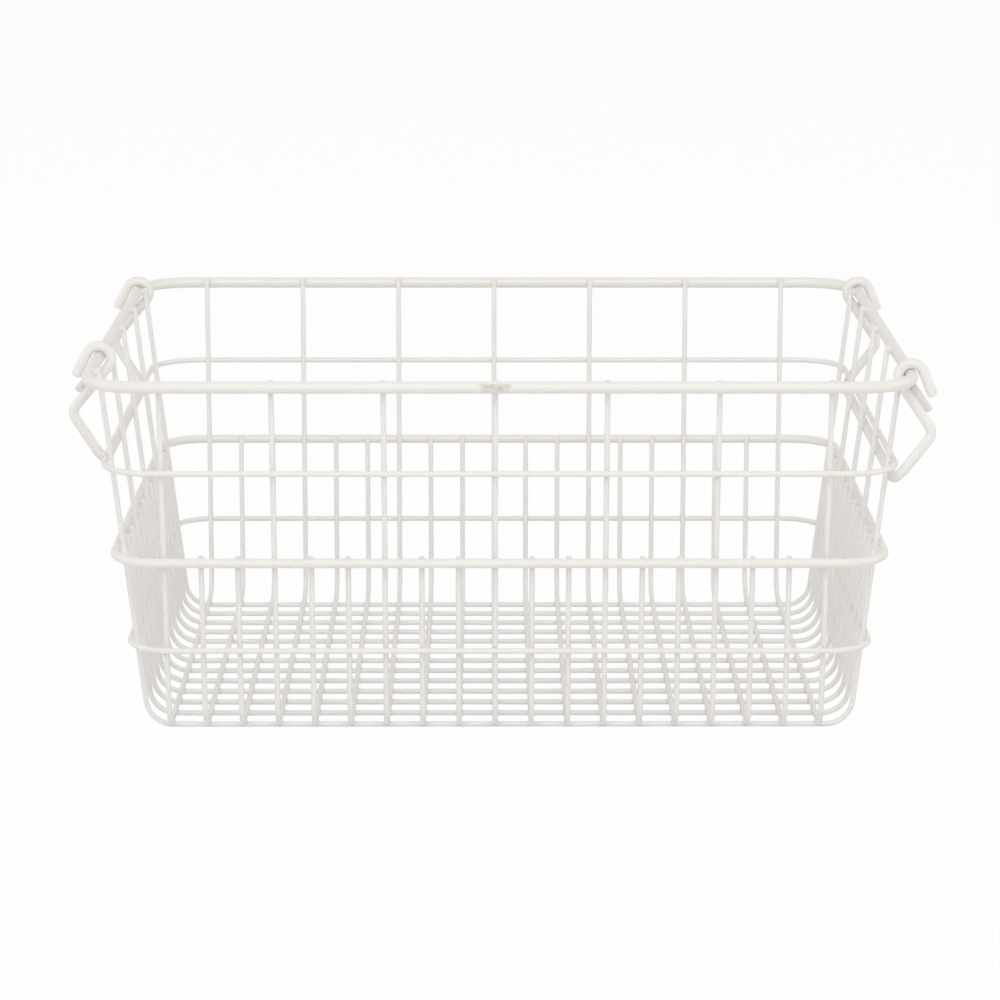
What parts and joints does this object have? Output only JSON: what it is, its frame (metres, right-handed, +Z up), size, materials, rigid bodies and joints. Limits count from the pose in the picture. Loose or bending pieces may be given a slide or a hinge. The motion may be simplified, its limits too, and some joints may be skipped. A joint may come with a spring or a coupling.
{
  "type": "wire storage basket",
  "caption": "Open rectangular storage basket of welded, coated steel wire with a bail handle hooked on the rim at each end.",
  "frame": {"origin": "on the floor, on the underside of the middle long wire, under the middle of the basket", "axes": "+X along the basket's length, +Y from its front to its back, +Z up"},
  "size_m": [0.4784, 0.3204, 0.2111],
  "materials": {
    "coated_wire": "satin"
  },
  "bodies": {
    "basket": {"rim_ring": "coated_wire", "upper_ring": "coated_wire", "middle_ring": "coated_wire", "lower_ring": "coated_wire", "cross_wire_01": "coated_wire", "cross_wire_02": "coated_wire", "cross_wire_03": "coated_wire", "cross_wire_04": "coated_wire", "cross_wire_05": "coated_wire", "cross_wire_06": "coated_wire", "cross_wire_07": "coated_wire", "cross_wire_08": "coated_wire", "cross_wire_09": "coated_wire", "cross_wire_10": "coated_wire", "cross_wire_11": "coated_wire", "cross_wire_12": "coated_wire", "cross_wire_13": "coated_wire", "cross_wire_14": "coated_wire", "cross_wire_15": "coated_wire", "cross_wire_16": "coated_wire", "cross_wire_17": "coated_wire", "cross_wire_18": "coated_wire", "cross_wire_19": "coated_wire", "long_wire_01": "coated_wire", "long_wire_02": "coated_wire", "long_wire_03": "coated_wire", "long_wire_04": "coated_wire", "long_wire_05": "coated_wire", "long_wire_06": "coated_wire", "long_wire_07": "coated_wire", "long_wire_08": "coated_wire", "long_wire_09": "coated_wire", "long_wire_10": "coated_wire", "long_wire_11": "coated_wire", "long_wire_12": "coated_wire", "long_wire_13": "coated_wire"},
    "left_handle": {"left_handle": "coated_wire", "left_handle_front_keeper": "coated_wire", "left_handle_back_keeper": "coated_wire"},
    "right_handle": {"right_handle": "coated_wire", "right_handle_front_keeper": "coated_wire", "right_handle_back_keeper": "coated_wire"}
  },
  "joints": [
    {"name": "left_handle_hinge", "type": "hinge", "parent": "basket", "child": "left_handle", "pos_m": [-0.223, 0, 0.2012], "axis": [0, 1, 0], "range_deg": [-5, 335]},
    {"name": "right_handle_hinge", "type": "hinge", "parent": "basket", "child": "right_handle", "pos_m": [0.223, 0, 0.2012], "axis": [0, -1, 0], "range_deg": [0, 340]}
  ]
}
